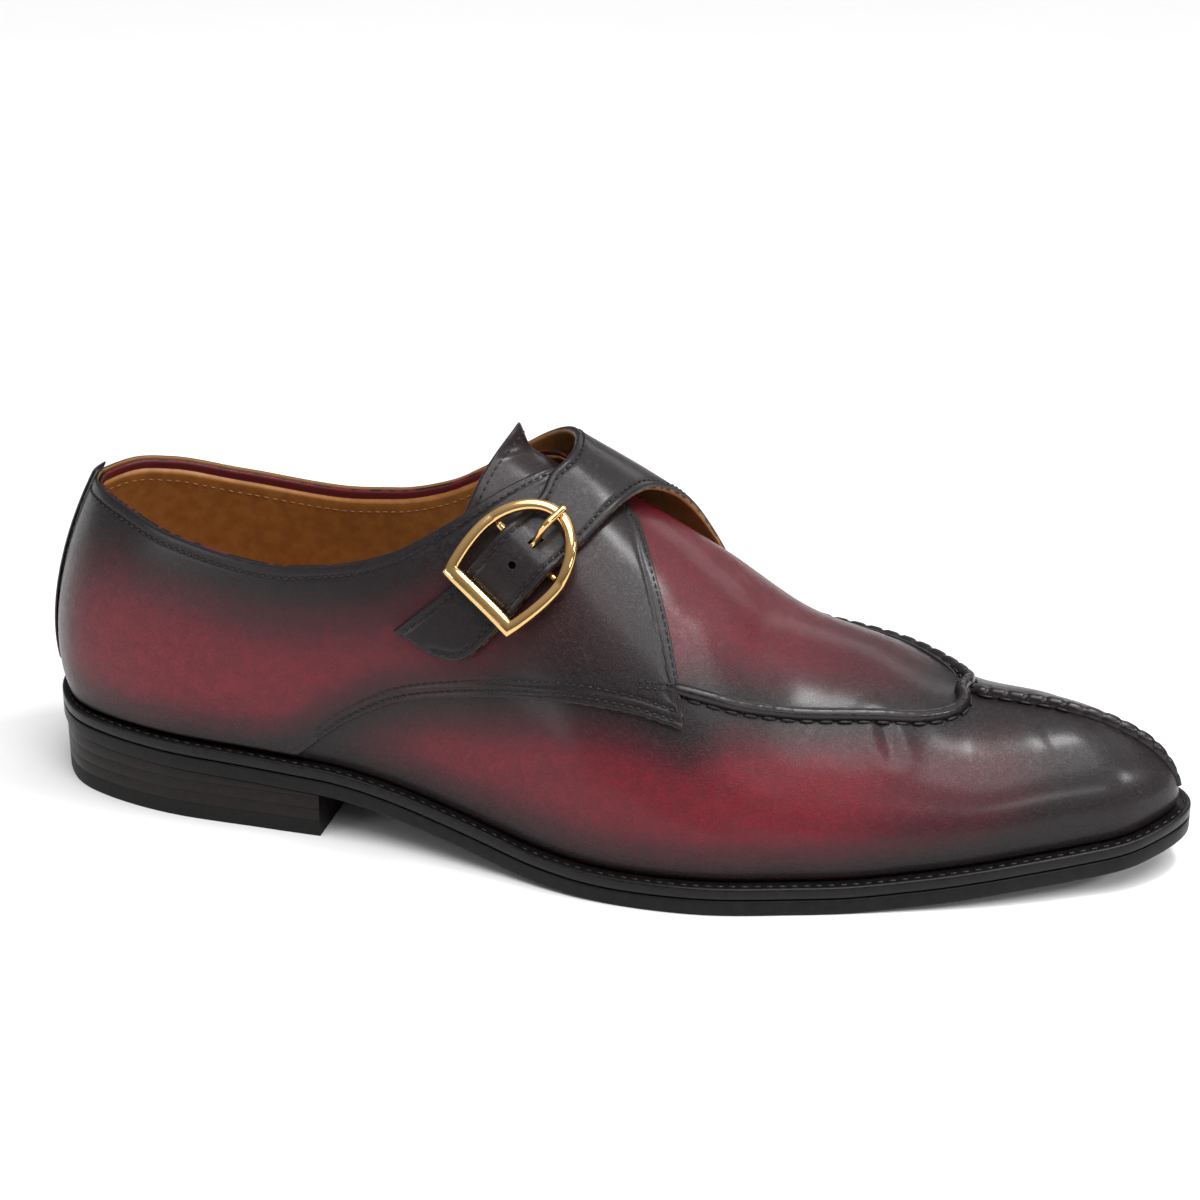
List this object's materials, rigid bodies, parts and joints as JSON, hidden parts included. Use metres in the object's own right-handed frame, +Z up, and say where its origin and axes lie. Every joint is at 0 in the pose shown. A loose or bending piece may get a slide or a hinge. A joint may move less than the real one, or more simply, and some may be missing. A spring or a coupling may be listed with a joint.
{
  "type": "monk strap shoe",
  "caption": "Low leather shoe with an apron and split toe, closed by a strap over the instep and a D buckle, on a stacked heel",
  "frame": {"origin": "centre of the heel's flat base on the floor", "axes": "+X from heel to toe, +Y to the inner side of the foot, +Z up"},
  "size_m": [0.3118, 0.103, 0.1075],
  "materials": {
    "vamp": "burnished oxblood calf, semi-gloss",
    "quarter": "burnished calf, dark along the edges",
    "strap": "dark burnished calf, tan back",
    "seam": "black burnished, semi-gloss",
    "welt": "black, waxed",
    "sole_edge": "black edge dressing",
    "top_piece": "matt black",
    "insole": "tan, matt",
    "buckle": "polished pale gold"
  },
  "bodies": {
    "root": {"outsole": "sole_edge", "welt": "welt", "insole": "insole", "heel_top_piece": "top_piece", "heel_lift_1": "sole_edge", "heel_lift_2": "sole_edge", "heel_wedge": "sole_edge", "upper": "vamp", "quarter_outer": "quarter", "quarter_inner_strap": "strap", "tongue": "strap", "apron_seam": "seam", "toe_seam": "seam", "back_strip": "seam", "buckle": "buckle", "buckle_prong": "buckle"}
  },
  "joints": []
}
